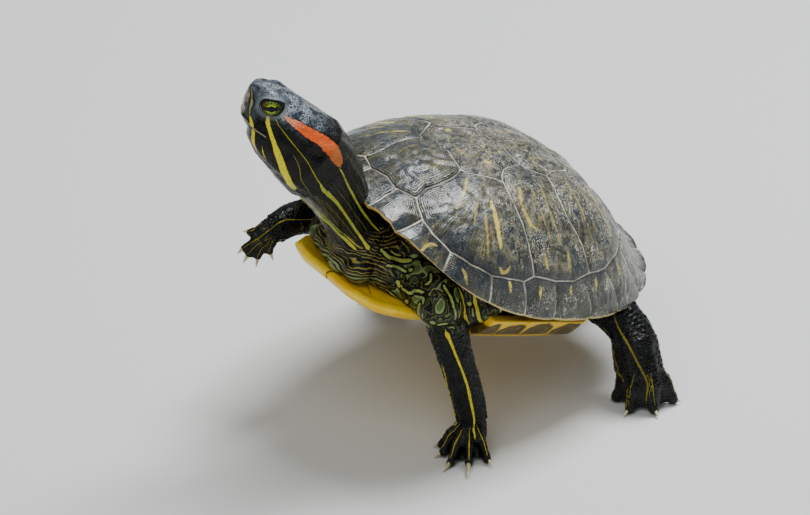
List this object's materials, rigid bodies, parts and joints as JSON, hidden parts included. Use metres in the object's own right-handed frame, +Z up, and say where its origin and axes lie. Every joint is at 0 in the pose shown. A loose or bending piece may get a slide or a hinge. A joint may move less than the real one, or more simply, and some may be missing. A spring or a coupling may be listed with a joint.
{
  "type": "red-eared slider turtle model",
  "caption": "Life-size still model of a red-eared slider turtle standing on three feet, neck raised, head turned, right forefoot lifted.",
  "frame": {"origin": "on the floor, under the middle of the bounding box", "axes": "+X along the turtle's heading, +Y to its left, +Z up"},
  "size_m": [0.1948, 0.1514, 0.1626],
  "materials": {
    "skin": "satin, striped",
    "scute": "weathered horn, half gloss",
    "plastron": "glossy yellow horn with dark blotches",
    "eye": "wet, dark bar through the pupil",
    "claw": "horn, semi-translucent look"
  },
  "bodies": {
    "root": {"nuchal": "scute", "vertebral_1": "scute", "vertebral_2": "scute", "vertebral_3": "scute", "vertebral_4": "scute", "vertebral_5": "scute", "costal_1_left": "scute", "costal_1_right": "scute", "costal_2_left": "scute", "costal_2_right": "scute", "costal_3_left": "scute", "costal_3_right": "scute", "costal_4_left": "scute", "costal_4_right": "scute", "marginals_left": "scute", "marginals_right": "scute", "plastron_front_left": "plastron", "plastron_front_right": "plastron", "plastron_middle_left": "plastron", "plastron_middle_right": "plastron", "plastron_rear_left": "plastron", "plastron_rear_right": "plastron", "trunk": "skin", "neck_lower": "skin", "neck_upper": "skin", "head": "skin", "lower_jaw": "skin", "tail": "skin", "front_left_upper_arm": "skin", "front_left_forearm": "skin", "front_left_forefoot": "skin", "front_right_upper_arm": "skin", "front_right_forearm": "skin", "front_right_forefoot": "skin", "hind_left_thigh": "skin", "hind_left_shank": "skin", "hind_left_foot": "skin", "hind_right_thigh": "skin", "hind_right_shank": "skin", "hind_right_foot": "skin", "eye_left": "eye", "eye_right": "eye", "front_left_claw_1": "claw", "front_left_claw_2": "claw", "front_left_claw_3": "claw", "front_left_claw_4": "claw", "front_left_claw_5": "claw", "front_right_claw_1": "claw", "front_right_claw_2": "claw", "front_right_claw_3": "claw", "front_right_claw_4": "claw", "front_right_claw_5": "claw", "hind_left_claw_1": "claw", "hind_left_claw_2": "claw", "hind_left_claw_3": "claw", "hind_left_claw_4": "claw", "hind_right_claw_1": "claw", "hind_right_claw_2": "claw", "hind_right_claw_3": "claw", "hind_right_claw_4": "claw"}
  },
  "joints": []
}
